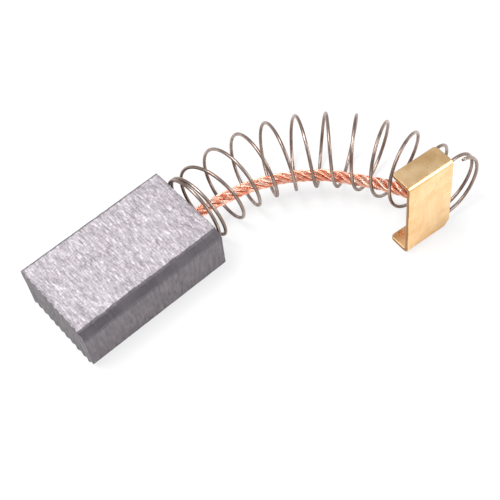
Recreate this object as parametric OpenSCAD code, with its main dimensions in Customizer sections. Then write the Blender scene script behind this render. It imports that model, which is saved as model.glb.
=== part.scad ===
// Carbon brush for an electric motor: a chamfered carbon block, an open-coil compression
// spring, a stranded copper lead inside the spring and a folded brass clip at its far end.
// The brush lies on its large face. +X runs from the contact face to the lead, +Z is up.
// The origin is the middle of the block's underside.

/* [Carbon block] */
// Length along X, from the contact face to the back face
block_length = 20; // [18:0.5:22]
// Width along Y
block_width = 12; // [11:0.5:13]
// Thickness along Z
block_thickness = 7; // [6.5:0.5:8]
// Width of the chamfers on the two long edges at -Y
chamfer_width = 1.05; // [0.2:0.05:1.5]
// Height of those chamfers
chamfer_height = 0.85; // [0.2:0.05:1.5]
// Number of shallow grooves across the contact face
groove_count = 11; // [4:1:20]
// Depth of those grooves
groove_depth = 0.16; // [0.05:0.01:0.3]
// Diameter of the blind hole that holds the lead
lead_hole_d = 2.6; // [2.2:0.1:3.2]
// Depth of that hole
lead_hole_depth = 6; // [5:0.5:8]

/* [Spring] */
// Diameter of the spring wire
wire_d = 0.44; // [0.3:0.02:0.46]
// Outside diameter of the open coils
spring_od = 9.34; // [9:0.02:9.4]
// Outside diameter of the last turns, in the clip
spring_end_od = 8.74; // [8.6:0.02:9]
// Rise of each turn at the middle of the spring
coil_pitch = 3.165; // [3:0.005:3.3]
// Share by which the rise grows five turns from the middle
pitch_growth = 0.065; // [0:0.001:0.1]
// Rise of each closed turn against the block
closed_pitch = 0.5; // [0.48:0.01:0.6]
// Rise of each closed turn in the clip
clip_turn_pitch = 0.7; // [0.5:0.01:0.8]

/* [Bend of the spring] */
// Angle by which the spring first leans to +Y, degrees
lean = 10; // [5:0.5:12]
// Heading of the spring's far end, degrees to the right of +X
bend = 89; // [80:0.5:90]
// Unevenness of the bend, degrees
bend_skew = 13.7; // [0:0.1:20]
// Distance by which the last turns have slipped sideways along the clip
slip = 1.45; // [0.8:0.05:1.6]
// Height of the spring's far end above its near end
rise = 0.52; // [0.4:0.02:0.6]
// Angle by which the far turns tip back from upright, degrees
tip = 6; // [4:0.5:7]

/* [Copper lead] */
// Diameter of one strand
strand_d = 0.47; // [0.4:0.01:0.47]
// Number of strands laid round the middle one
outer_strands = 6; // [6:1:6]
// Radius of the circle that the outer strands' middles lie on
lay_radius = 0.515; // [0.5:0.005:0.53]
// Length in which a strand goes once round the lead
lay_length = 7; // [6:0.5:10]
// How many times taller the lead is where its strands spread at the clip
spread = 1.9; // [1:0.1:2]

/* [Terminal clip] */
// Width of the folded strip
clip_width = 6.5; // [6:0.1:7]
// Height over both flanges
clip_height = 12; // [11.6:0.1:12.4]
// Depth of the flanges, outside
clip_flange = 3.1; // [2.8:0.1:3.2]
// Thickness of the brass sheet
sheet = 0.45; // [0.4:0.05:0.5]
// Radius inside the two bends
bend_radius = 0.3; // [0.2:0.05:0.4]
// Angle by which the clip leans back, degrees
clip_lean = 4; // [2:0.5:5]
// Direction that the web faces, degrees to the right of +X
clip_heading = 95.5; // [94:0.5:97]

/* [Hidden] */

gap = 0.01;
back_x = block_length / 2;

// Contact face
groove_steps = 6;

// Spring, counted in turns from the first top of a coil
first_turn = -0.5;
last_turn = 12.95;
middle_turn = 6.5;
growth_span = 5;
open_from = 0.84;
open_until = 11.15;
opening_turns = 0.8;
slip_from = 10.4;
slip_turns = 1.6;
narrow_from = 10.9;
narrow_turns = 1.2;
lean_length = 3;
steps_per_turn = 20;
wire_sides = 8;
axis_steps = 180;
coil_r = (spring_od - wire_d) / 2;
end_coil_r = (spring_end_od - wire_d) / 2;
spring_axis_y = 0.01;
spring_axis_z = spring_od / 2 + 0.03;

// Clip: the middle of the web's outer face, and the clip's own directions
clip_x = 29.84;
clip_y = -19.77;
clip_z = clip_height / 2 * cos(clip_lean) + clip_flange * sin(clip_lean);
web_normal = [
    cos(clip_heading) * cos(clip_lean), -sin(clip_heading) * cos(clip_lean), sin(clip_lean)
];
web_along = [sin(clip_heading), cos(clip_heading), 0];
web_up = cross(web_normal, web_along);
flange_corner_r = 0.5;
clipped_corner = [1.1, 1.4];

// Weld of the lead on the web's inner face
weld_along = 1.72;
weld_up = -1;
weld_size = [1.7, 3.0];
weld_thickness = 0.45;
lead_end_gap = 0.08;
weld_face = [clip_x, clip_y, clip_z] + weld_along * web_along + weld_up * web_up
    - (sheet + weld_thickness + lead_end_gap) * web_normal;
lead_straight = 1.2;

// Route of the lead's middle line, from the bottom of its hole to the weld
lead_start_gap = 0.4;
lead_route = concat(
    [
        [back_x - lead_hole_depth + lead_start_gap, 0, 3.5],
        [back_x - 2.8, 0, 3.5],
        [back_x, 0, 3.5],
        [12.6, 0.05, 3.5],
        [15.1, -0.45, 3.5],
        [17.6, -1.1, 3.5],
        [19.9, -2.05, 3.5],
        [22.3, -3.35, 3.5],
        [24.4, -4.95, 3.5],
        [26.2, -6.75, 3.55],
        [27.65, -8.85, 3.6],
        [28.9, -11, 3.8],
        [29.8, -12.95, 4.15],
        [30.5, -14.9, 4.6],
        [30.95, -16.3, 4.85]
    ],
    [weld_face - lead_straight * web_normal, weld_face]
);
steps_per_leg = 6;
strand_sides = 6;
spread_from = 11;
spread_over = 3.5;

// Smooth rise from 0 to 1 while t goes from 0 to 1
function smooth(t) = let (c = min(max(t, 0), 1)) c * c * (3 - 2 * c);

// Rise per turn of the spring at turn n
function pitch_at(n) =
    let (open_pitch = coil_pitch * (1 + pitch_growth * pow((n - middle_turn) / growth_span, 2)))
    closed_pitch
    + (open_pitch - closed_pitch) * smooth((n - open_from) / opening_turns)
    - (open_pitch - clip_turn_pitch) * smooth((n - open_until) / opening_turns);

// Table of [turn, distance along the spring's axis], summed from the rise per turn
turn_step = 1 / steps_per_turn;
turn_steps = (last_turn - first_turn) * steps_per_turn;
travel = [
    for (i = 0, s = wire_d / 2 + gap; i <= turn_steps;
         s = s + turn_step * pitch_at(first_turn + (i + 0.5) * turn_step), i = i + 1)
        [first_turn + i * turn_step, s]
];
axis_length = travel[turn_steps][1];

// Heading of the spring's axis at distance s, degrees to the left of +X
function heading(s) =
    let (u = s / axis_length)
    lean * smooth(s / lean_length) - (bend + lean) * smooth(u)
    + bend_skew * 16 * pow(u * (1 - u), 2) * (2 * u - 1);

// Tables of the axis's X and Y against s, walked in short straight steps
axis_step = axis_length / axis_steps;
axis_walk = [
    for (i = 0, p = [back_x, spring_axis_y]; i <= axis_steps;
         p = p + axis_step * [cos(heading((i + 0.5) * axis_step)), sin(heading((i + 0.5) * axis_step))],
         i = i + 1)
        [i * axis_step, p.x, p.y]
];
axis_x = [for (p = axis_walk) [p[0], p[1]]];
axis_y = [for (p = axis_walk) [p[0], p[2]]];

// Point on the middle of the spring wire at turn n, and its direction out from the axis
function out_of_axis(n) =
    let (
        s = lookup(n, travel),
        h = heading(s),
        t = tip * smooth(s / axis_length),
        turn = 360 * n + 90
    )
    cos(turn) * [-sin(h), cos(h), 0] + sin(turn) * [-sin(t) * cos(h), -sin(t) * sin(h), cos(t)];
function wire_point(n) =
    let (
        s = lookup(n, travel),
        h = heading(s),
        aside = slip * smooth((n - slip_from) / slip_turns),
        r = coil_r + (end_coil_r - coil_r) * smooth((n - narrow_from) / narrow_turns)
    )
    [
        lookup(s, axis_x) - aside * sin(h),
        lookup(s, axis_y) + aside * cos(h),
        spring_axis_z + rise * smooth(s / axis_length)
    ] + r * out_of_axis(n);

// Point on a smooth curve through the route's points; t counts the points
function route_at(t) =
    let (
        last = len(lead_route) - 1,
        i = min(floor(t), last - 1),
        f = t - i,
        p0 = lead_route[max(i - 1, 0)],
        p1 = lead_route[i],
        p2 = lead_route[i + 1],
        p3 = lead_route[min(i + 2, last)]
    )
    0.5 * (2 * p1 + (p2 - p0) * f + (2 * p0 - 5 * p1 + 4 * p2 - p3) * f * f
        + (3 * p1 - p0 - 3 * p2 + p3) * f * f * f);

function unit(v) = v / norm(v);

// The lead's middle line and its direction at each step, and the length up to there
lead_steps = (len(lead_route) - 1) * steps_per_leg;
lead_line = [for (i = [0 : lead_steps]) route_at(i / steps_per_leg)];
lead_ways = [
    for (i = [0 : lead_steps])
        i == 0 ? [1, 0, 0] : i == lead_steps ? web_normal : unit(lead_line[i + 1] - lead_line[i - 1])
];
lead_lengths = [
    for (i = 0, s = 0; i <= lead_steps;
         s = i < lead_steps ? s + norm(lead_line[i + 1] - lead_line[i]) : s, i = i + 1)
        s
];

// Middle line of strand k, laid round the lead's own middle line; 0 is the straight one
function strand_line(k) = [
    for (i = [0 : lead_steps])
        let (
            way = lead_ways[i],
            side = unit(cross([0, 0, 1], way)),
            above = cross(way, side),
            turn = 360 * (k / outer_strands + lead_lengths[i] / lay_length),
            tall = 1 + (spread - 1) * smooth((i / steps_per_leg - spread_from) / spread_over),
            r = k == 0 ? 0 : lay_radius
        )
        lead_line[i] + r * (cos(turn) * side + tall * sin(turn) * above)
];

// Ring of points round p, square to the direction way, starting at the direction out
function ring(p, way, out, r, sides) =
    let (a = unit(out - (out * way) * way), b = cross(way, a))
    [for (j = [0 : sides - 1]) p + r * (cos(360 * j / sides) * a + sin(360 * j / sides) * b)];

// Solid that carries a ring of the given radius along a line of points, from one end
// direction to the other
module sweep(line, outs, start_way, end_way, r, sides) {
    last = len(line) - 1;
    rings = [
        for (i = [0 : last])
            let (way = i == 0 ? start_way : i == last ? end_way : line[i + 1] - line[i - 1])
            ring(line[i], unit(way), outs[i], r, sides)
    ];
    points = [for (one = rings) each one];
    walls = [
        for (i = [0 : last - 1], j = [0 : sides - 1])
            let (k = (j + 1) % sides)
            [i * sides + j, (i + 1) * sides + j, (i + 1) * sides + k, i * sides + k]
    ];
    near_end = [[for (j = [0 : sides - 1]) j]];
    far_end = [[for (j = [0 : sides - 1]) last * sides + sides - 1 - j]];
    polyhedron(points = points, faces = concat(walls, near_end, far_end), convexity = 10);
}

// Section of the block across its length: a rectangle with two chamfers at -Y
module block_section() {
    half = block_width / 2;
    polygon([
        [half, 0], [half, block_thickness],
        [-half + chamfer_width, block_thickness],
        [-half, block_thickness - chamfer_height],
        [-half, chamfer_height],
        [-half + chamfer_width, 0]
    ]);
}

// Outline of the block seen from above, with the grooves of the contact face
module block_outline() {
    steps = groove_count * groove_steps;
    face = [
        for (i = [0 : steps])
            [
                -back_x + groove_depth * (1 - cos(360 * i / groove_steps)) / 2,
                block_width * (0.5 - i / steps)
            ]
    ];
    polygon(concat(face, [[back_x, -block_width / 2], [back_x, block_width / 2]]));
}

module carbon_block() {
    color([0.5, 0.48, 0.5])
    difference() {
        intersection() {
            rotate([90, 0, 90])
                linear_extrude(block_length + 2, center = true) block_section();
            translate([0, 0, -1]) linear_extrude(block_thickness + 2) block_outline();
        }
        translate([back_x - lead_hole_depth, 0, block_thickness / 2])
            rotate([0, 90, 0]) cylinder(h = lead_hole_depth + 1, d = lead_hole_d, $fn = 48);
    }
}

// Copper powder pressed into the hole round the lead's end
module tamping_plug() {
    passage_r = lay_radius + strand_d / 2 + gap;
    color([0.62, 0.38, 0.28])
    translate([back_x - lead_hole_depth, 0, block_thickness / 2])
        rotate([0, 90, 0])
            difference() {
                cylinder(h = lead_hole_depth, d = lead_hole_d, $fn = 48);
                translate([0, 0, lead_start_gap - gap])
                    cylinder(h = lead_hole_depth, r = passage_r, $fn = 48);
            }
}

module spring() {
    turns = [for (i = [0 : turn_steps]) first_turn + i * turn_step];
    line = [for (n = turns) wire_point(n)];
    color([0.55, 0.5, 0.47])
        sweep(line, [for (n = turns) out_of_axis(n)], line[1] - line[0],
            line[turn_steps] - line[turn_steps - 1], wire_d / 2, wire_sides);
}

module strand(k) {
    sides = [for (way = lead_ways) cross([0, 0, 1], way)];
    color([0.85, 0.5, 0.38])
        sweep(strand_line(k), sides, lead_ways[0], lead_ways[lead_steps], strand_d / 2, strand_sides);
}

// Side view of the clip's space: depth to -X, height along Z, round at the two bends
module channel(depth, height, r, open_by) {
    translate([-depth - open_by, -height / 2]) square([depth + open_by - r, height]);
    translate([-r - gap, -height / 2 + r]) square([r + gap, height - 2 * r]);
    for (side = [-1, 1])
        translate([-r, side * (height / 2 - r)]) circle(r, $fn = 48);
}

// Plan of the clip: a strip whose free corners are round
module clip_plan() {
    r = flange_corner_r;
    translate([-clip_flange + r, -clip_width / 2]) square([clip_flange - r + 1, clip_width]);
    translate([-clip_flange, -clip_width / 2 + r]) square([r + gap, clip_width - 2 * r]);
    for (side = [-1, 1])
        translate([-clip_flange + r, side * (clip_width / 2 - r)]) circle(r, $fn = 32);
}

// Moves a thing from the clip's own frame, web facing +X, to its place
module at_clip() {
    translate([clip_x, clip_y, clip_z])
        rotate([0, 0, -clip_heading]) rotate([0, -clip_lean, 0]) children();
}

module terminal_clip() {
    color([0.85, 0.7, 0.42])
    at_clip()
        difference() {
            intersection() {
                rotate([90, 0, 0])
                    linear_extrude(clip_width, center = true)
                        difference() {
                            channel(clip_flange, clip_height, bend_radius + sheet, 0);
                            translate([-sheet, 0])
                                channel(clip_flange, clip_height - 2 * sheet, bend_radius, 1);
                        }
                translate([0, 0, -clip_height / 2 - 1])
                    linear_extrude(clip_height + 2) clip_plan();
            }
            translate([-clip_flange / 2, clip_width / 2, -clip_height / 2])
                rotate([90, 0, 90])
                    linear_extrude(clip_flange)
                        polygon([
                            [-clipped_corner.x, 0], [0, clipped_corner.y],
                            [1, clipped_corner.y], [1, -1], [-clipped_corner.x, -1]
                        ]);
        }
}

// Flat end of the lead, welded to the web's inner face
module lead_weld() {
    r = weld_size.x / 2;
    color([0.8, 0.5, 0.36])
    at_clip()
        translate([-sheet - weld_thickness, weld_along, weld_up])
            rotate([90, 0, 90])
                linear_extrude(weld_thickness) {
                    square([weld_size.x, weld_size.y - 2 * r], center = true);
                    for (side = [-1, 1])
                        translate([0, side * (weld_size.y / 2 - r)]) circle(r, $fn = 32);
                }
}

carbon_block();
tamping_plug();
spring();
terminal_clip();
lead_weld();
strand(0);  // strand_core
strand(1);  // strand_1
strand(2);  // strand_2
strand(3);  // strand_3
strand(4);  // strand_4
strand(5);  // strand_5
strand(6);  // strand_6
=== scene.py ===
"""Carbon brush: the dressed pieces, their finishes, a pale floor, soft light and the camera."""
import math
import bpy
import numpy as np
from mathutils import Matrix


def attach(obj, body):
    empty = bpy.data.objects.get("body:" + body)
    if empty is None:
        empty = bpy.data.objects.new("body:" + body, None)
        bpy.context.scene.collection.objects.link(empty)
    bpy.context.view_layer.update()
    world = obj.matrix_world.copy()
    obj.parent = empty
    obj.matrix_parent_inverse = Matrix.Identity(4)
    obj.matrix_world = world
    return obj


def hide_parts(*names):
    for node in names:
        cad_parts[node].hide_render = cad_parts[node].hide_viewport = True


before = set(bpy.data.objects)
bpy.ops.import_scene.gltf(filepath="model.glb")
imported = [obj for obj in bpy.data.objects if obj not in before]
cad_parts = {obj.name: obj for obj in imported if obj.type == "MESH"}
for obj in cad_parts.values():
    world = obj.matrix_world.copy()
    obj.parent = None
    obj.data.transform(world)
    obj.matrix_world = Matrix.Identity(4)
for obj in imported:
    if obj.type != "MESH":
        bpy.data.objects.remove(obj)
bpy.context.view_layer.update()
MM = 0.001

# Sizes in millimetres. All but the last are the solids' own, except that the chamfer's height is
# 0.02 less, the hole's radius 0.01 more and the wire's radius 0.008 less than in the solids.
BLOCK_LENGTH, BLOCK_WIDTH, BLOCK_THICK = 20.0, 12.0, 7.0
BLOCK_MIDDLE = np.array([0.0, BLOCK_THICK / 2])
CHAMFER_HEIGHT = 0.83
GROOVES, GROOVE_DEPTH = 11, 0.16
HOLE_R, HOLE_FLOOR_X = 1.31, 4.0
SPRING_OD, WIRE_R = 9.34, 0.212
FIRST_TURN, LAST_TURN = -0.5, 12.95
CLIP_W, CLIP_H, FLANGE, SHEET, BEND_R = 6.5, 12.0, 3.1, 0.45, 0.3
FREE_CORNER_R, CLIPPED_ALONG, CLIPPED_UP = 0.5, 1.1, 1.4
LAY_RADIUS, LAY_LENGTH = 0.515, 7.0
STRANDS = 6
FINE_WIRES = 12


# ---------------------------------------------------------------- shared helpers

def smooth(t):
    """Smooth rise from 0 to 1: t squared times (3 - 2 t), with t held between 0 and 1."""
    c = np.clip(t, 0.0, 1.0)
    return c * c * (3 - 2 * c)


def unit(v):
    """Each vector divided by its own length."""
    return v / np.linalg.norm(v, axis=-1, keepdims=True)


def uneven(u, v, seed):
    """Smooth random field between 0 and 1: random values on a unit lattice, blended between
    the four corners round (u, v) with smooth weights."""
    lattice = np.random.RandomState(seed).rand(97, 89)
    iu, iv = np.floor(u).astype(int), np.floor(v).astype(int)
    fu, fv = smooth(u - iu), smooth(v - iv)
    a, b = lattice[iu % 97, iv % 89], lattice[(iu + 1) % 97, iv % 89]
    c, d = lattice[iu % 97, (iv + 1) % 89], lattice[(iu + 1) % 97, (iv + 1) % 89]
    return (a * (1 - fu) + b * fu) * (1 - fv) + (c * (1 - fu) + d * fu) * fv


def length_so_far(line):
    """Length of the line up to each of its points."""
    return np.concatenate([[0], np.cumsum(np.linalg.norm(np.diff(line, axis=0), axis=1))])


def ring_faces(rings, sides, start):
    """Four-cornered faces between following rings, and a fan on a middle point at each end.
    The two middle points come after the last ring."""
    i = np.arange(rings - 1)[:, None] * sides
    j = np.arange(sides)[None, :]
    k = (j + 1) % sides
    walls = np.stack([i + j, i + k, i + sides + k, i + sides + j], -1).reshape(-1, 4) + start
    low, high = start + rings * sides, start + rings * sides + 1
    last = (rings - 1) * sides
    near = np.stack([np.full(sides, low), start + k[0], start + j[0]], -1)
    far = np.stack([np.full(sides, high), start + last + j[0], start + last + k[0]], -1)
    return walls, near, far


def put_rings(name, tubes, maps, material, rides, marks=None):
    """One closed mesh from a list of ring grids (rings, sides, 3) in millimetres. Each grid gets a
    fan at both ends. maps holds a (rings, sides, 2) grid for the UV map of each, marks a dict of
    named per-point values."""
    points, quads, fans, uv_points, start = [], [], [], [], 0
    for grid, chart in zip(tubes, maps):
        rings, sides = grid.shape[:2]
        walls, near, far = ring_faces(rings, sides, start)
        points += [grid.reshape(-1, 3), grid[0].mean(0)[None], grid[-1].mean(0)[None]]
        uv_points += [chart.reshape(-1, 2), chart[0].mean(0)[None], chart[-1].mean(0)[None]]
        quads.append(walls)
        fans += [near, far]
        start += rings * sides + 2
    points = np.concatenate(points) * MM
    quads, fans = np.concatenate(quads), np.concatenate(fans)
    mesh = bpy.data.meshes.new(name)
    mesh.from_pydata(points.tolist(), [], quads.tolist() + fans.tolist())
    corners = np.concatenate([quads.ravel(), fans.ravel()])
    chart = mesh.uv_layers.new(name="lengthwise")
    chart.data.foreach_set("uv", np.concatenate(uv_points)[corners].ravel().astype(np.float32))
    for key, values in (marks or {}).items():
        mark = mesh.attributes.new(key, "FLOAT", "POINT")
        mark.data.foreach_set("value", values.astype(np.float32))
    mesh.polygons.foreach_set("use_smooth", np.ones(len(mesh.polygons), dtype=bool))
    mesh.materials.append(material)
    mesh.update()
    piece = bpy.data.objects.new(name, mesh)
    bpy.context.scene.collection.objects.link(piece)
    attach(piece, "root")
    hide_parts(*rides)
    return piece


def wire(line, outs, r, sides):
    """Round wire: a ring of radius r round each point of the line, square to the line, starting at
    the direction out. r may change along the line."""
    ways = unit(np.gradient(line, axis=0))
    a = unit(outs - (outs * ways).sum(-1, keepdims=True) * ways)
    b = np.cross(ways, a)
    angle = np.linspace(0, 2 * np.pi, sides, endpoint=False)[:, None]
    r = np.broadcast_to(np.asarray(r, float), (len(line),))[:, None, None]
    grid = line[:, None] + r * (np.cos(angle) * a[:, None] + np.sin(angle) * b[:, None])
    along, around = length_so_far(line)[:, None] / 10, np.linspace(0, 1, sides)[None]
    chart = np.stack(np.broadcast_arrays(along, around), -1)
    return grid, chart


# ---------------------------------------------------------------- finishes

def tone(r, g, b):
    """Colour given as 0 to 255 on a display, turned into linear light."""
    c = np.array([r, g, b]) / 255
    low, high = c / 12.92, ((c + 0.055) / 1.055) ** 2.4
    return (*np.where(c <= 0.04045, low, high).tolist(), 1.0)


class Finish:
    """A material with short ways to add and join nodes."""

    def __init__(self, name, **sockets):
        self.material = bpy.data.materials.new(name)
        self.material.use_nodes = True
        self.tree = self.material.node_tree
        self.shader = self.tree.nodes["Principled BSDF"]
        for key, value in sockets.items():
            self.shader.inputs[key.replace("_", " ")].default_value = value

    def add(self, kind, links=None, **settings):
        made = self.tree.nodes.new("ShaderNode" + kind)
        for key, value in settings.items():
            setattr(made, key, value)
        for key, value in (links or {}).items():
            socket = made.inputs[key]
            if hasattr(value, "is_output"):
                self.tree.links.new(value, socket)
            else:
                socket.default_value = value
        return made

    def place(self, source, scale):
        """Coordinates in millimetres times scale; source is Object or UV."""
        where = self.add("TexCoord").outputs[source]
        return self.add("Mapping", {"Vector": where, "Scale": scale}).outputs[0]

    def grain(self, where, scale, detail=4.0, rough=0.6):
        sockets = {"Vector": where, "Scale": scale, "Detail": detail, "Roughness": rough}
        return self.add("TexNoise", sockets).outputs[0]

    def steps(self, fac, *stops):
        ramp = self.add("ValToRGB", {"Fac": fac})
        band = ramp.color_ramp
        while len(band.elements) < len(stops):
            band.elements.new(0.5)
        for element, (at, colour) in zip(band.elements, stops):
            element.position = at
            element.color = colour if isinstance(colour, tuple) else (colour, colour, colour, 1)
        return ramp.outputs[0]

    def mix(self, fac, a, b):
        return self.add("Mix", {0: fac, 6: a, 7: b}, data_type="RGBA").outputs[2]

    def sum(self, a, b):
        return self.add("Math", {0: a, 1: b}, operation="ADD").outputs[0]

    def times(self, a, b):
        return self.add("Math", {0: a, 1: b}, operation="MULTIPLY").outputs[0]

    def mark(self, name):
        return self.add("Attribute", attribute_name=name).outputs["Fac"]

    def set(self, key, value):
        self.tree.links.new(value, self.shader.inputs[key])

    def bump(self, height, distance, strength):
        made = self.add("Bump", {"Height": height, "Strength": strength, "Distance": distance * MM})
        self.set("Normal", made.outputs[0])


def carbon_finish():
    """Graphite: fine saw lines across the block on the ground faces, whose lighter tone is a painted
    sheen; smooth chamfers painted darker as painted shade, dull grooves on the contact face and dark chipped
    edges."""
    f = Finish("carbon", Metallic=0.0, Roughness=0.5)
    across = f.place("Object", (1000, 190, 190))
    even = f.place("Object", (1000, 1000, 1000))
    lines = f.grain(across, 5.0, 4.0, 0.65)
    streaks = f.grain(across, 2.6, 3.0, 0.5)
    grit = f.grain(even, 4.2, 4.0, 0.7)
    cloud = f.grain(even, 0.35, 3.0, 0.5)
    both = f.sum(f.times(lines, 0.62), f.times(grit, 0.38))
    # Ground faces (top and underside): real saw lines and grit, set in tones far lighter than graphite's own
    # as a painted sheen.
    ground_and_sheen = f.steps(both, (0.36, tone(108, 101, 107)), (0.45, tone(146, 138, 144)),
                     (0.53, tone(174, 166, 172)), (0.64, tone(226, 219, 224)))
    ground_and_sheen = f.mix(f.steps(cloud, (0.35, 0.0), (0.7, 0.25)), ground_and_sheen, tone(192, 185, 191))
    side = f.steps(f.sum(f.times(streaks, 0.5), f.times(both, 0.5)),
                   (0.36, tone(80, 74, 78)), (0.5, tone(102, 95, 99)), (0.64, tone(122, 114, 118)))
    # Chamfers: a colour darker than the sides, painted shade and painted dark reflection on the smooth face.
    shaded_chamfer = f.steps(cloud, (0.3, tone(62, 56, 61)), (0.7, tone(80, 74, 79)))
    colour = f.mix(f.mark("ground_and_sheen"), side, ground_and_sheen)
    colour = f.mix(f.mark("shaded_chamfer"), colour, shaded_chamfer)
    worn = f.times(f.mark("worn"), f.steps(grit, (0.3, 1.0), (0.62, 0.25)))
    colour = f.mix(worn, colour, tone(70, 64, 70))
    specks = f.steps(f.grain(even, 2.1, 2.0, 0.5), (0.70, 0.0), (0.76, 0.5))
    colour = f.mix(f.times(specks, f.mark("ground_and_sheen")), colour, tone(178, 138, 136))
    f.set("Base Color", colour)
    f.set("Roughness", f.steps(grit, (0.3, 0.36), (0.7, 0.62)))
    f.bump(f.sum(f.times(lines, 0.6), f.times(grit, 0.5)), 0.10, 0.6)
    return f.material


def spring_finish():
    """Drawn steel wire: brownish bloom in patches, fine draw lines along it."""
    f = Finish("spring_steel", Metallic=1.0, Roughness=0.3)
    along = f.place("UV", (6, 9, 1))
    even = f.place("Object", (1000, 1000, 1000))
    draw = f.grain(along, 4.0, 4.0, 0.6)
    bloom = f.grain(even, 0.5, 3.0, 0.5)
    colour = f.steps(bloom, (0.35, tone(140, 121, 112)), (0.55, tone(168, 149, 139)),
                     (0.7, tone(194, 177, 166)))
    colour = f.mix(f.steps(draw, (0.35, 0.35), (0.65, 0.0)), colour, tone(104, 88, 82))
    f.set("Base Color", colour)
    f.set("Roughness", f.steps(draw, (0.3, 0.24), (0.7, 0.42)))
    f.bump(draw, 0.03, 0.35)
    return f.material


def copper_finish():
    """Bare copper wire: bright where it is rubbed, redder and duller in patches."""
    f = Finish("copper", Metallic=1.0, Roughness=0.3)
    even = f.place("Object", (1000, 1000, 1000))
    patch = f.grain(even, 1.3, 3.0, 0.6)
    fine = f.grain(even, 9.0, 2.0, 0.5)
    colour = f.steps(patch, (0.32, tone(238, 146, 118)), (0.5, tone(252, 186, 158)),
                     (0.64, tone(255, 228, 212)))
    f.set("Base Color", colour)
    f.set("Roughness", f.steps(fine, (0.3, 0.22), (0.7, 0.4)))
    f.bump(fine, 0.02, 0.4)
    return f.material


def fused_finish():
    """Copper wires pressed flat and fused: darker heat tint and a lumpy skin."""
    f = Finish("fused_copper", Metallic=1.0, Roughness=0.45)
    even = f.place("Object", (1000, 1000, 1000))
    lumps = f.grain(even, 2.5, 4.0, 0.6)
    f.set("Base Color", f.steps(lumps, (0.35, tone(140, 82, 70)), (0.6, tone(214, 138, 108))))
    f.set("Roughness", f.steps(lumps, (0.3, 0.35), (0.7, 0.6)))
    f.bump(lumps, 0.15, 0.6)
    return f.material


def powder_finish():
    """Pressed copper powder: grains of copper and carbon."""
    f = Finish("copper_powder", Metallic=0.4, Roughness=0.6)
    even = f.place("Object", (1000, 1000, 1000))
    grains = f.add("TexVoronoi", {"Vector": even, "Scale": 7.0}).outputs["Distance"]
    f.set("Base Color", f.steps(grains, (0.1, tone(196, 132, 100)), (0.6, tone(110, 76, 66))))
    f.bump(grains, 0.08, 0.6)
    return f.material


def brass_finish():
    """Rolled brass sheet: faint roll lines, small pits and smudges, a duller cut edge."""
    f = Finish("brass", Metallic=1.0, Roughness=0.3)
    even = f.place("Object", (1000, 1000, 1000))
    rolled = f.grain(f.place("UV", (1.6, 26, 1)), 5.0, 3.0, 0.5)
    smudge = f.grain(even, 0.45, 4.0, 0.6)
    colour = f.steps(smudge, (0.35, tone(236, 194, 138)), (0.6, tone(250, 216, 168)))
    colour = f.mix(f.steps(rolled, (0.4, 0.22), (0.65, 0.0)), colour, tone(216, 168, 108))
    spots = f.grain(even, 2.6, 3.0, 0.7)
    pits = f.steps(spots, (0.66, 0.0), (0.73, 0.7))
    colour = f.mix(pits, colour, tone(134, 100, 62))
    colour = f.mix(f.mark("cut_edge"), colour, tone(150, 106, 58))
    f.set("Base Color", colour)
    f.set("Roughness", f.steps(smudge, (0.3, 0.26), (0.7, 0.40)))
    f.bump(f.sum(f.times(rolled, 0.3), f.times(pits, -0.8)), 0.03, 0.5)
    return f.material


# ---------------------------------------------------------------- carbon block

# Points on each straight edge of the block's section, and on each corner's curve. The edges are
# the far side, the top, the upper chamfer, the near side, the lower chamfer and the underside.
EDGE_POINTS = [44, 76, 12, 36, 12, 76]
CORNER_POINTS = 6
FAR, TOP, UPPER_CHAMFER, NEAR, LOWER_CHAMFER, UNDER, CORNER = range(7)


def section_loops(chamfer_w, chamfer_h, round_r, inset):
    """Closed loops in (y, z) for many stations at once. Each loop walks round the block's section:
    straight edges in even steps, and at each corner a curve that is the quadratic blend of the
    point before, the corner and the point after. inset draws the whole loop towards its middle."""
    n = len(chamfer_w)
    half, tall = np.full(n, BLOCK_WIDTH / 2), np.full(n, BLOCK_THICK)
    zero = np.zeros(n)
    corners = np.stack([
        np.stack([half, zero], -1), np.stack([half, tall], -1),
        np.stack([-half + chamfer_w, tall], -1), np.stack([-half, tall - chamfer_h], -1),
        np.stack([-half, chamfer_h], -1), np.stack([-half + chamfer_w, zero], -1)], 1)
    bends = np.linspace(0, 1, CORNER_POINTS)[None, :, None]
    parts = []
    for k in range(6):
        here, after, before = corners[:, k], corners[:, (k + 1) % 6], corners[:, k - 1]
        r, r_after = round_r[:, k, None], round_r[:, (k + 1) % 6, None]
        a, c = here + r * unit(before - here), here + r * unit(after - here)
        parts.append((1 - bends) ** 2 * a[:, None] + 2 * bends * (1 - bends) * here[:, None]
                     + bends ** 2 * c[:, None])
        stop = after + r_after * unit(here - after)
        t = np.linspace(0, 1, EDGE_POINTS[k] + 2)[1:-1][None, :, None]
        parts.append(c[:, None] * (1 - t) + stop[:, None] * t)
    loops = np.concatenate(parts, 1)
    squeeze = 1 - inset[:, None, None] / np.array([BLOCK_WIDTH / 2, BLOCK_THICK / 2])
    return BLOCK_MIDDLE + (loops - BLOCK_MIDDLE) * squeeze


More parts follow.
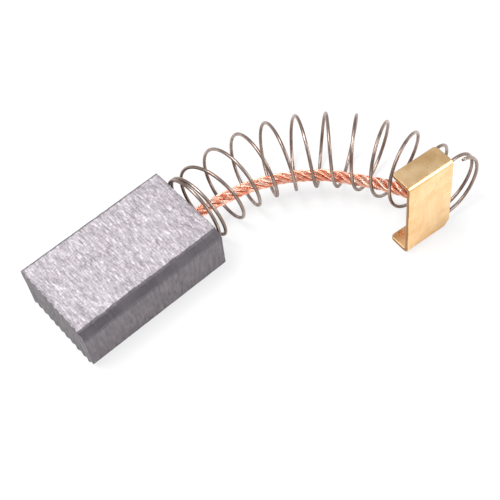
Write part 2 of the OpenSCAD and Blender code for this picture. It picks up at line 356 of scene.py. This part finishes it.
def make_block(material):
    """Block: section loops carried along X from the middle of the contact face, over its rounded
    rim, along the body, over the back rim and into the lead's hole. X of each point runs from the
    grooved contact face, whose depth is a cosine of y, to the back."""
    front_rings, rim, body = 40, 5, 250
    edge = 0.13
    arc = np.linspace(0, np.pi / 2, rim)
    shrink = np.concatenate([np.linspace(0.02, 1, front_rings)[:-1], np.ones(rim + body + rim)])
    inset = np.concatenate([np.full(front_rings - 1, edge), edge * (1 - np.sin(arc)), np.zeros(body),
                            edge * (1 - np.sin(arc[::-1]))])
    ends = edge / BLOCK_LENGTH
    t = np.concatenate([np.zeros(front_rings - 1), ends * (1 - np.cos(arc)),
                        np.linspace(ends, 1 - ends, body + 2)[1:-1], 1 - ends * (1 - np.cos(arc[::-1]))])
    along = t * BLOCK_LENGTH
    n = len(t)
    lanes = np.arange(6)[None, :] * 7.0
    chips = (uneven(along[:, None] * 1.4 + 3, lanes + 0.5, 5) * 0.6
             + uneven(along[:, None] * 4.3, lanes + 0.5, 8) * 0.4)
    round_r = 0.10 + 0.34 * np.clip(chips - 0.52, 0, 1)
    chamfer_w = (1.02 + 0.14 * (uneven(along * 0.8, np.full(n, 2.5), 3) - 0.5)
                 + 0.10 * (uneven(along * 3.1, np.full(n, 4.5), 4) - 0.5))
    loops = section_loops(chamfer_w, np.full(n, CHAMFER_HEIGHT), round_r, inset)
    loops = BLOCK_MIDDLE + (loops - BLOCK_MIDDLE) * shrink[:, None, None]
    y, z = loops[..., 0], loops[..., 1]

    kinds = np.concatenate([np.r_[np.full(CORNER_POINTS, CORNER), np.full(c, k)]
                            for k, c in enumerate(EDGE_POINTS)])[None, :]
    level = np.isin(kinds, [TOP, UNDER])
    on_body = (np.arange(n) >= front_rings - 1 + rim - 2)[:, None]
    flat = level & on_body
    # Chamfer points; their colour is painted darker as painted shade.
    shaded_chamfer = np.isin(kinds, [UPPER_CHAMFER, LOWER_CHAMFER]) & on_body
    corner = (kinds == CORNER) & on_body

    # Saw lines: shallow dips that run across the block, under 0.03 mm deep
    x0 = along[:, None]
    dip = 0.014 * uneven(x0 * 4.6, y * 0.35 + 9, 11) + 0.012 * uneven(x0 * 9.5, y * 0.8 + z * 0.8 + 5, 12)
    dip = dip * np.where(flat, 1.0, np.where(shaded_chamfer | corner, 0.15, 0.5)) * on_body
    y = y - dip * np.sign(y) * np.isin(kinds, [FAR, NEAR])
    z = z - dip * np.sign(z - BLOCK_MIDDLE[1]) * level

    groove = GROOVE_DEPTH * (1 - np.cos(2 * np.pi * GROOVES * (0.5 - y / BLOCK_WIDTH))) / 2
    ragged = 0.05 * uneven(y * 2.2 + 40, z * 0.7, 15) * np.clip(shrink[:, None] * 2 - 1, 0, 1)
    front = -9.995 + groove * 0.8 + ragged
    back = 9.995 - 0.06 * uneven(y * 2.6 + 7, z * 2.6 + 3, 16) * (t[:, None] > 0.9)
    x = front + (back - front) * t[:, None]
    grid = np.stack([x, y, z], -1)

    # Back face: the last loop drawn in to the hole's rim, then the hole's wall and its floor
    last = grid[-1]
    way = unit(last[:, 1:] - BLOCK_MIDDLE)
    rim_circle = np.concatenate([np.full((len(way), 1), 9.99), BLOCK_MIDDLE + HOLE_R * way], 1)
    inward = np.linspace(0, 1, 14)[1:, None, None]
    back_face = last[None] * (1 - inward) + rim_circle[None] * inward
    wall = np.broadcast_to(rim_circle, (8, *rim_circle.shape)).copy()
    wall[..., 0:1] = np.linspace(9.9, HOLE_FLOOR_X, 8)[:, None, None]
    grid = np.concatenate([grid, back_face, wall])

    m = grid.shape[1]
    extra = np.zeros((len(back_face) + len(wall), m))
    near_edge = np.clip(1 - (BLOCK_WIDTH / 2 - np.abs(y)) / 0.35, 0, 1) * flat
    end_band = np.clip(1 - np.minimum(along, BLOCK_LENGTH - along) / 0.45, 0, 1)[:, None] * on_body
    worn = np.clip(corner * 0.9 + near_edge * 0.7 + end_band * 0.8, 0, 1)

    def every_point(values):
        """Values on the carried loops, and zero on the back face, in the hole and at both fans' middles."""
        carried = np.concatenate([np.broadcast_to(values, (n, m)), extra])
        return np.append(carried.ravel(), [0.0, 0.0])

    # The first mark picks the top and underside, whose colour carries a painted sheen; the second picks the
    # chamfers, painted darker as painted shade.
    marks = {"ground_and_sheen": every_point(flat * 1.0), "shaded_chamfer": every_point(shaded_chamfer * 1.0), "worn": every_point(worn)}
    chart = grid[..., :2] / BLOCK_LENGTH
    block = put_rings("carbon_body", [grid], [chart], material, ["carbon_block"], marks)


# ---------------------------------------------------------------- spring

# Pitches, slip, rise and radii in millimetres, angles in degrees. They are the solid's own, except
# that the coil's radius is 0.012 less.
SPRING_Z = SPRING_OD / 2 + 0.03
OPEN_PITCH, PITCH_GROWTH, MIDDLE_TURN = 3.165, 0.065, 6.5
CLOSED_PITCH, CLIP_TURN_PITCH = 0.5, 0.7
SPRING_LEAN, SPRING_BEND, BEND_SKEW, SPRING_TIP = 10, 89, 13.7, 6
SLIP, RISE = 1.45, 0.52
COIL_R, END_NARROWING = 4.438, 0.3


def spring_path(turns):
    """Middle line of the wire at each turn number. The rise per turn goes smoothly from closed to
    open and back, and is summed into the distance along the axis. The axis's heading, in degrees,
    is a smooth lean to +Y, less a smooth turn to the right, plus an uneven part. The turn's plane
    tips back towards the far end, and the last turns slip sideways and narrow."""
    def rise_per_turn(n):
        wide = OPEN_PITCH * (1 + PITCH_GROWTH * ((n - MIDDLE_TURN) / 5) ** 2)
        return (CLOSED_PITCH + (wide - CLOSED_PITCH) * smooth((n - 0.84) / 0.8)
                - (wide - CLIP_TURN_PITCH) * smooth((n - 11.15) / 0.8))

    fine = np.linspace(FIRST_TURN, LAST_TURN, 6001)
    step = fine[1] - fine[0]
    travelled = np.concatenate([[0], np.cumsum(rise_per_turn((fine[1:] + fine[:-1]) / 2) * step)]) + 0.23
    length = travelled[-1]

    def heading(s):
        u = s / length
        return np.radians(SPRING_LEAN * smooth(s / 3) - (SPRING_BEND + SPRING_LEAN) * smooth(u)
                          + BEND_SKEW * 16 * (u * (1 - u)) ** 2 * (2 * u - 1))

    s_fine = np.linspace(0, length, 4001)
    h_mid = heading((s_fine[1:] + s_fine[:-1]) / 2)
    ds = s_fine[1]
    ax = 10 + np.concatenate([[0], np.cumsum(np.cos(h_mid) * ds)])
    ay = 0.01 + np.concatenate([[0], np.cumsum(np.sin(h_mid) * ds)])

    s = np.interp(turns, fine, travelled)
    h = heading(s)
    tip = np.radians(SPRING_TIP) * smooth(s / length)
    angle = 2 * np.pi * turns + np.pi / 2
    left = np.stack([-np.sin(h), np.cos(h), 0 * h], -1)
    up = np.stack([-np.sin(tip) * np.cos(h), -np.sin(tip) * np.sin(h), np.cos(tip)], -1)
    outs = np.cos(angle)[:, None] * left + np.sin(angle)[:, None] * up
    height = SPRING_Z + RISE * smooth(s / length)
    axis = np.stack([np.interp(s, s_fine, ax), np.interp(s, s_fine, ay), height], -1)
    axis = axis + (SLIP * smooth((turns - 10.4) / 1.6))[:, None] * left
    r = COIL_R - END_NARROWING * smooth((turns - 10.9) / 1.2)
    return axis + r[:, None] * outs, outs


def make_spring(material):
    """Wire swept along the spring's path, 72 rings a turn, its two cut ends drawn in a little."""
    turns = np.linspace(FIRST_TURN, LAST_TURN, int((LAST_TURN - FIRST_TURN) * 72) + 1)
    line, outs = spring_path(turns)
    r = np.full(len(turns), WIRE_R)
    r[0] = r[-1] = WIRE_R * 0.82
    grid, chart = wire(line, outs, r, 18)
    spring = put_rings("spring_wire", [grid], [chart], material, ["spring"])


# ---------------------------------------------------------------- clip frame

LEAN, HEADING = math.radians(4), math.radians(95.5)
CLIP_AT = np.array([29.84, -19.77, CLIP_H / 2 * math.cos(LEAN) + FLANGE * math.sin(LEAN)])
NORMAL = np.array([math.cos(HEADING) * math.cos(LEAN), -math.sin(HEADING) * math.cos(LEAN),
                   math.sin(LEAN)])
ALONG = np.array([math.sin(HEADING), math.cos(HEADING), 0.0])
UPWARD = np.cross(NORMAL, ALONG)


def make_clip(material):
    """Folded strip: a rounded rectangle section carried along the sheet's middle line, which goes
    straight over the upper flange, round a bend, down the web, round a bend and out along the lower
    flange. The section's two sides move in at the free corners (a quarter circle) and at the
    clipped corner (a straight slope)."""
    r = BEND_R + SHEET / 2
    half = CLIP_H / 2 - SHEET / 2
    quarter = np.linspace(0, np.pi / 2, 15)
    tip_in = np.array([0.0, 0.01, 0.03, 0.06])
    flange = np.concatenate([tip_in, np.linspace(0.1, 0.5, 7), np.linspace(0.6, FLANGE - r - SHEET / 2, 12)])
    upper = np.stack([-FLANGE + flange, np.full(len(flange), half)], -1)
    bend_1 = np.stack([-SHEET / 2 - r + r * np.sin(quarter), half - r + r * np.cos(quarter)], -1)[1:]
    web = np.stack([np.full(90, -SHEET / 2), np.linspace(half - r, -half + r, 91)[1:]], -1)
    lower = np.stack([upper[::-1, 0], -upper[::-1, 1]], -1)
    bend_2 = np.stack([bend_1[::-1, 0], -bend_1[::-1, 1]], -1)
    path = np.concatenate([upper, bend_1, web, bend_2, lower])
    ways = unit(np.gradient(path, axis=0))
    face = np.stack([-ways[:, 1], ways[:, 0]], -1)

    x, v = path[:, 0], path[:, 1]
    from_end = x + FLANGE

    def quarter_circle(radius):
        """How far a round edge of this radius stands back, by the distance from the free end."""
        return radius - np.sqrt(np.maximum(radius ** 2 - (radius - np.minimum(from_end, radius)) ** 2, 0))

    pulled, rim = quarter_circle(FREE_CORNER_R), quarter_circle(0.05)
    clipped = np.clip(CLIPPED_ALONG * (1 - (v + CLIP_H / 2) / CLIPPED_UP), 0, CLIPPED_ALONG)
    clipped = clipped * smooth((x + 1.62) / 0.14) * (v < 0)
    u_low, u_high = -CLIP_W / 2 + pulled, CLIP_W / 2 - np.maximum(pulled, clipped)

    # Section: along one skin, round a cut edge, back along the other skin and round the other edge
    inner = np.linspace(0, 1, 30)
    turn = np.linspace(0, np.pi, 9)[1:-1]
    edge_r = 0.06
    thick = SHEET / 2 - rim - 0.002
    squared = np.sign(np.cos(turn)) * np.abs(np.cos(turn)) ** 0.5
    out = edge_r * np.sqrt(np.sin(turn))
    rows = []
    for way_u in (1, -1):
        base = inner if way_u > 0 else inner[::-1]
        side_thick = thick if way_u > 0 else -thick
        u = (u_low + edge_r)[:, None] * (1 - base) + (u_high - edge_r)[:, None] * base
        rows.append(np.stack([u, np.broadcast_to(side_thick[:, None], u.shape)], -1))
        end_u = (u_high - edge_r) if way_u > 0 else (u_low + edge_r)
        rows.append(np.stack([end_u[:, None] + way_u * out[None], side_thick[:, None] * squared[None]], -1))
    section = np.concatenate(rows, 1)
    u, w = section[..., 0], section[..., 1]

    # Small waves in the hand-folded web
    wave = 0.012 * (uneven(u * 0.55 + 20, v[:, None] * 0.45 + 20, 21) - 0.5)
    w = w + wave * smooth((2.6 - np.abs(v[:, None] / 2.2)) / 1.2) - 0.006
    flat = path[:, None] + w[..., None] * face[:, None]
    grid = CLIP_AT + flat[..., 0:1] * NORMAL + u[..., None] * ALONG + flat[..., 1:2] * UPWARD
    grid[..., 2] = np.maximum(grid[..., 2], 0.004)
    chart = np.stack([np.broadcast_to(length_so_far(path)[:, None] / 20, u.shape), (u + CLIP_W / 2) / 20], -1)
    on_edge = np.abs(w) < SHEET / 2 * 0.93
    on_edge = on_edge | (from_end < 0.055)[:, None]
    marks = {"cut_edge": np.concatenate([on_edge.ravel() * 1.0, [1.0, 1.0]])}
    clip = put_rings("clip_sheet", [grid], [chart], material, ["terminal_clip"], marks)


# ---------------------------------------------------------------- copper lead

WELD_ALONG, WELD_UP, WELD_THICK = 1.72, -1.0, 0.45
WELD_FACE = CLIP_AT + WELD_ALONG * ALONG + WELD_UP * UPWARD - (SHEET + WELD_THICK + 0.08) * NORMAL
ROUTE = np.array([
    [4.4, 0, 3.5], [7.2, 0, 3.5], [10, 0, 3.5], [12.6, 0.05, 3.5], [15.1, -0.45, 3.5], [17.6, -1.1, 3.5],
    [19.9, -2.05, 3.5], [22.3, -3.35, 3.5], [24.4, -4.95, 3.5], [26.2, -6.75, 3.55], [27.65, -8.85, 3.6],
    [28.9, -11, 3.8], [29.8, -12.95, 4.15], [30.5, -14.9, 4.6], [30.95, -16.3, 4.85],
    WELD_FACE - 1.2 * NORMAL, WELD_FACE])


def lead_path():
    """Smooth curve through the route's points (Catmull-Rom), its directions, and the length so far."""
    last = len(ROUTE) - 1
    t = np.linspace(0, last, last * 16 + 1)
    i = np.minimum(t.astype(int), last - 1)
    f = (t - i)[:, None]
    p0, p1, p2, p3 = ROUTE[np.maximum(i - 1, 0)], ROUTE[i], ROUTE[i + 1], ROUTE[np.minimum(i + 2, last)]
    line = 0.5 * (2 * p1 + (p2 - p0) * f + (2 * p0 - 5 * p1 + 4 * p2 - p3) * f ** 2
                  + (3 * p1 - p0 - 3 * p2 + p3) * f ** 3)
    ways = unit(np.gradient(line, axis=0))
    ways[0], ways[-1] = [1, 0, 0], NORMAL
    return t, line, ways, length_so_far(line)


def make_bundle(k, node, material):
    """Strand k: its middle line goes round the lead once in 7 mm. Twelve fine wires lie on a circle
    round it and go round the strand the other way, on a core that fills its middle. Each fine
    wire's place wanders a little, and the lead grows taller where it spreads at the clip."""
    t, line, ways, lengths = lead_path()
    side = unit(np.cross([0, 0, 1], ways))
    above = np.cross(ways, side)
    loose = smooth((t - 11) / 3.5)
    turn = 2 * np.pi * (k / STRANDS + lengths / LAY_LENGTH)
    tall = (1 + 0.9 * loose) * np.sin(turn)
    r = 0.0 if k == 0 else LAY_RADIUS
    middle = line + r * (np.cos(turn)[:, None] * side + tall[:, None] * above)
    own = unit(np.gradient(middle, axis=0))
    a = unit(np.cross([0, 0, 1], own))
    b = np.cross(own, a)
    tubes, charts = [], []
    fine_r = 0.0475
    seat = 0.183
    for j in range(FINE_WIRES):
        wander = 0.5 * (uneven(lengths * 0.9 + 11 * j, np.full(len(t), 3.0 * k + 0.5), 31) - 0.5)
        swell = uneven(lengths * 1.3 + 7 * j, np.full(len(t), 5.0 * k + 0.5), 33) - 0.5
        swell = seat * (1 + 0.10 * swell)
        place = 2 * np.pi * (j / FINE_WIRES - lengths / 3.6) + wander
        out = np.cos(place)[:, None] * a + np.sin(place)[:, None] * b
        grid, chart = wire(middle + swell[:, None] * out, out, fine_r, 6)
        tubes.append(grid)
        charts.append(chart)
    grid, chart = wire(middle, a, seat - 0.03, 8)
    tubes.append(grid)
    charts.append(chart)
    bundle = put_rings("copper_" + node, tubes, charts, material, [node])


# ---------------------------------------------------------------- dress the nodes

make_block(carbon_finish())
make_spring(spring_finish())
make_clip(brass_finish())
copper = copper_finish()
make_bundle(0, "strand_core", copper)
for k in range(1, STRANDS + 1):
    make_bundle(k, "strand_%d" % k, copper)

for node, finish in (("lead_weld", fused_finish()), ("tamping_plug", powder_finish())):
    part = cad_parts[node]
    part.data.materials.clear()
    part.data.materials.append(finish)


# ---------------------------------------------------------------- floor, light, camera

def make_floor():
    """Flat square floor, 3 m wide. It shows white, and keeps part of the shadow on it."""
    half = 1.5
    mesh = bpy.data.meshes.new("floor")
    corners = [(-half, -half, 0), (half, -half, 0), (half, half, 0), (-half, half, 0)]
    mesh.from_pydata(corners, [], [(0, 1, 2, 3)])
    material = bpy.data.materials.new("floor")
    material.use_nodes = True
    nodes, links = material.node_tree.nodes, material.node_tree.links
    nodes.remove(nodes["Principled BSDF"])
    paper = nodes.new("ShaderNodeBsdfDiffuse")
    paper.inputs["Color"].default_value = (0.86, 0.86, 0.86, 1)
    glow = nodes.new("ShaderNodeEmission")
    glow.inputs["Color"].default_value = (1, 1, 1, 1)
    rays = nodes.new("ShaderNodeLightPath")
    share = nodes.new("ShaderNodeMath")
    share.operation = "MULTIPLY"
    share.inputs[1].default_value = 0.72
    links.new(rays.outputs["Is Camera Ray"], share.inputs[0])
    blend = nodes.new("ShaderNodeMixShader")
    links.new(share.outputs[0], blend.inputs[0])
    links.new(paper.outputs[0], blend.inputs[1])
    links.new(glow.outputs[0], blend.inputs[2])
    links.new(blend.outputs[0], nodes["Material Output"].inputs["Surface"])
    mesh.materials.append(material)
    floor = bpy.data.objects.new("floor", mesh)
    bpy.context.scene.collection.objects.link(floor)


def make_world():
    """Even pale surroundings, white where they are seen."""
    world = bpy.data.worlds.new("studio")
    bpy.context.scene.world = world
    world.use_nodes = True
    nodes, links = world.node_tree.nodes, world.node_tree.links
    plain = nodes["Background"]
    plain.inputs["Color"].default_value = (0.97, 0.98, 1.0, 1)
    plain.inputs["Strength"].default_value = 0.62
    white = nodes.new("ShaderNodeBackground")
    white.inputs["Color"].default_value = (1, 1, 1, 1)
    white.inputs["Strength"].default_value = 1.0
    rays = nodes.new("ShaderNodeLightPath")
    blend = nodes.new("ShaderNodeMixShader")
    links.new(rays.outputs["Is Camera Ray"], blend.inputs[0])
    links.new(plain.outputs[0], blend.inputs[1])
    links.new(white.outputs[0], blend.inputs[2])
    links.new(blend.outputs[0], nodes["World Output"].inputs["Surface"])


def aim(place, target):
    """Matrix that stands at place and looks at target."""
    back = unit(np.asarray(place, float) - np.asarray(target, float))
    right = unit(np.cross([0.0, 0.0, 1.0], back))
    up = np.cross(back, right)
    return Matrix([[right[i], up[i], back[i], place[i]] for i in range(3)] + [[0, 0, 0, 1]])


def make_light(name, place, size, power):
    lamp = bpy.data.lights.new(name, "AREA")
    lamp.shape = "RECTANGLE"
    lamp.size, lamp.size_y = size
    lamp.energy = power
    holder = bpy.data.objects.new(name, lamp)
    bpy.context.scene.collection.objects.link(holder)
    holder.matrix_world = aim(place, (0.014, -0.006, 0.003))


def make_camera():
    """Camera above the near side, out past the contact face, turned and rolled by the angles below."""
    azimuth, elevation, roll = (math.radians(v) for v in (-35.87, 57.29, -6.68))
    target, distance = np.array([13.43, -6.32, 0.0]), 123.6
    level = math.cos(elevation)
    back = np.array([math.sin(azimuth) * level, -math.cos(azimuth) * level, math.sin(elevation)])
    right = np.array([math.cos(azimuth), math.sin(azimuth), 0.0])
    up = np.cross(back, right)
    x = math.cos(roll) * right + math.sin(roll) * up
    y = -math.sin(roll) * right + math.cos(roll) * up
    place = (target + distance * back) * MM
    data = bpy.data.cameras.new("camera")
    data.sensor_width = 36.0
    data.lens = 73.44
    data.clip_start = 0.005
    data.clip_end = 10
    camera = bpy.data.objects.new("camera", data)
    bpy.context.scene.collection.objects.link(camera)
    camera.matrix_world = Matrix([[x[i], y[i], back[i], place[i]] for i in range(3)] + [[0, 0, 0, 1]])
    bpy.context.scene.camera = camera


make_floor()
make_world()
make_light("overhead", (-0.10, 0.10, 0.42), (0.22, 0.18), 1.7)
make_light("front_right", (0.22, -0.30, 0.22), (0.20, 0.14), 0.7)
make_camera()
bpy.context.scene.view_settings.view_transform = "Standard"
